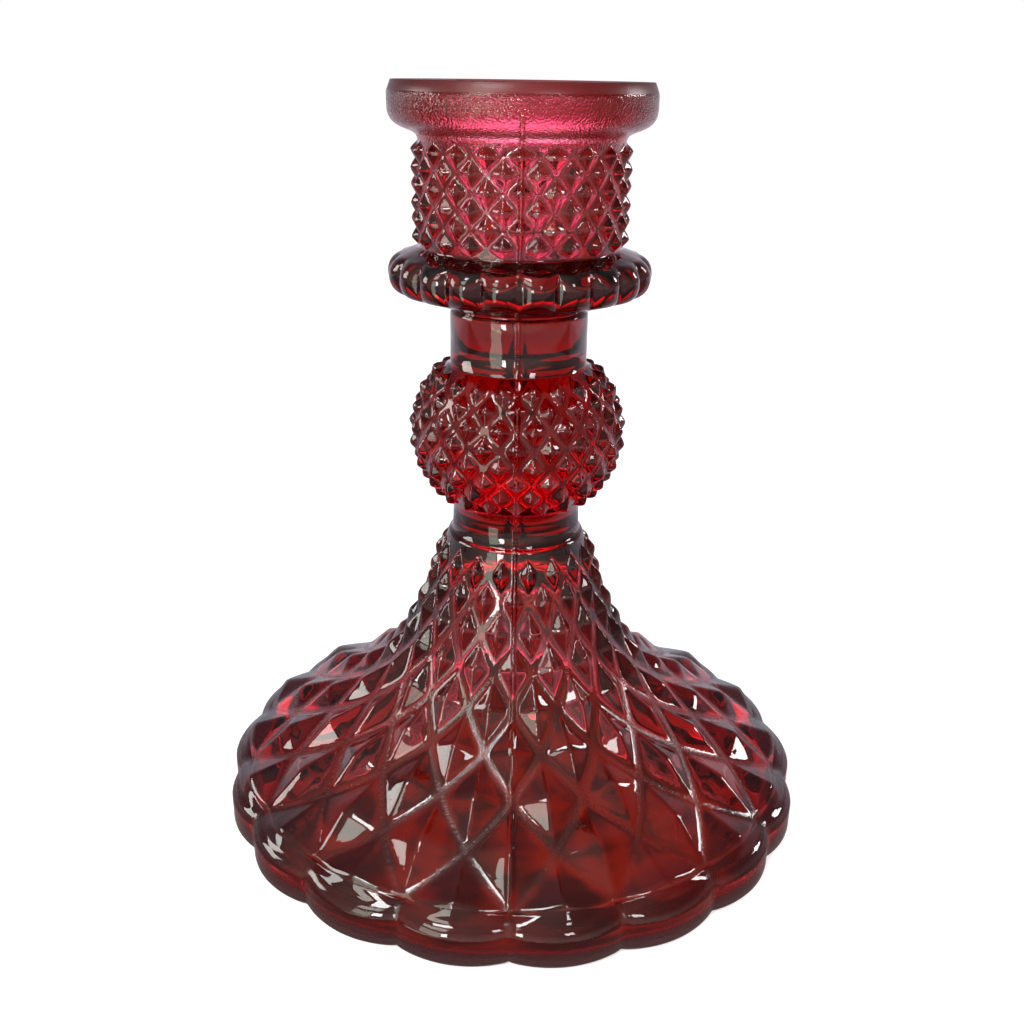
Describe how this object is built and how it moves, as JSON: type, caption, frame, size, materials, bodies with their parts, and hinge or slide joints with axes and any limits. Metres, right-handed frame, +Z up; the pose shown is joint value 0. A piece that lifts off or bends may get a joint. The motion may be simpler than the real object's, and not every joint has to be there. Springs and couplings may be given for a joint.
{
  "type": "taper candle holder",
  "caption": "Pressed glass candlestick for a taper candle: scalloped flared foot, diamond-cut knop and socket, lobed drip collar and a bevelled flared rim.",
  "frame": {"origin": "centre of the ring that the foot stands on", "axes": "+Z up along the stick's axis, from the foot to the candle socket; -Y is the front, where one mould seam runs up through a notch of the foot"},
  "size_m": [0.098, 0.097, 0.1162],
  "materials": {
    "glass_body": "deep ruby glass, coloured through and fire polished, with a pebbled patch inside the rim"
  },
  "bodies": {
    "root": {"glass_body": "glass_body"}
  },
  "joints": []
}
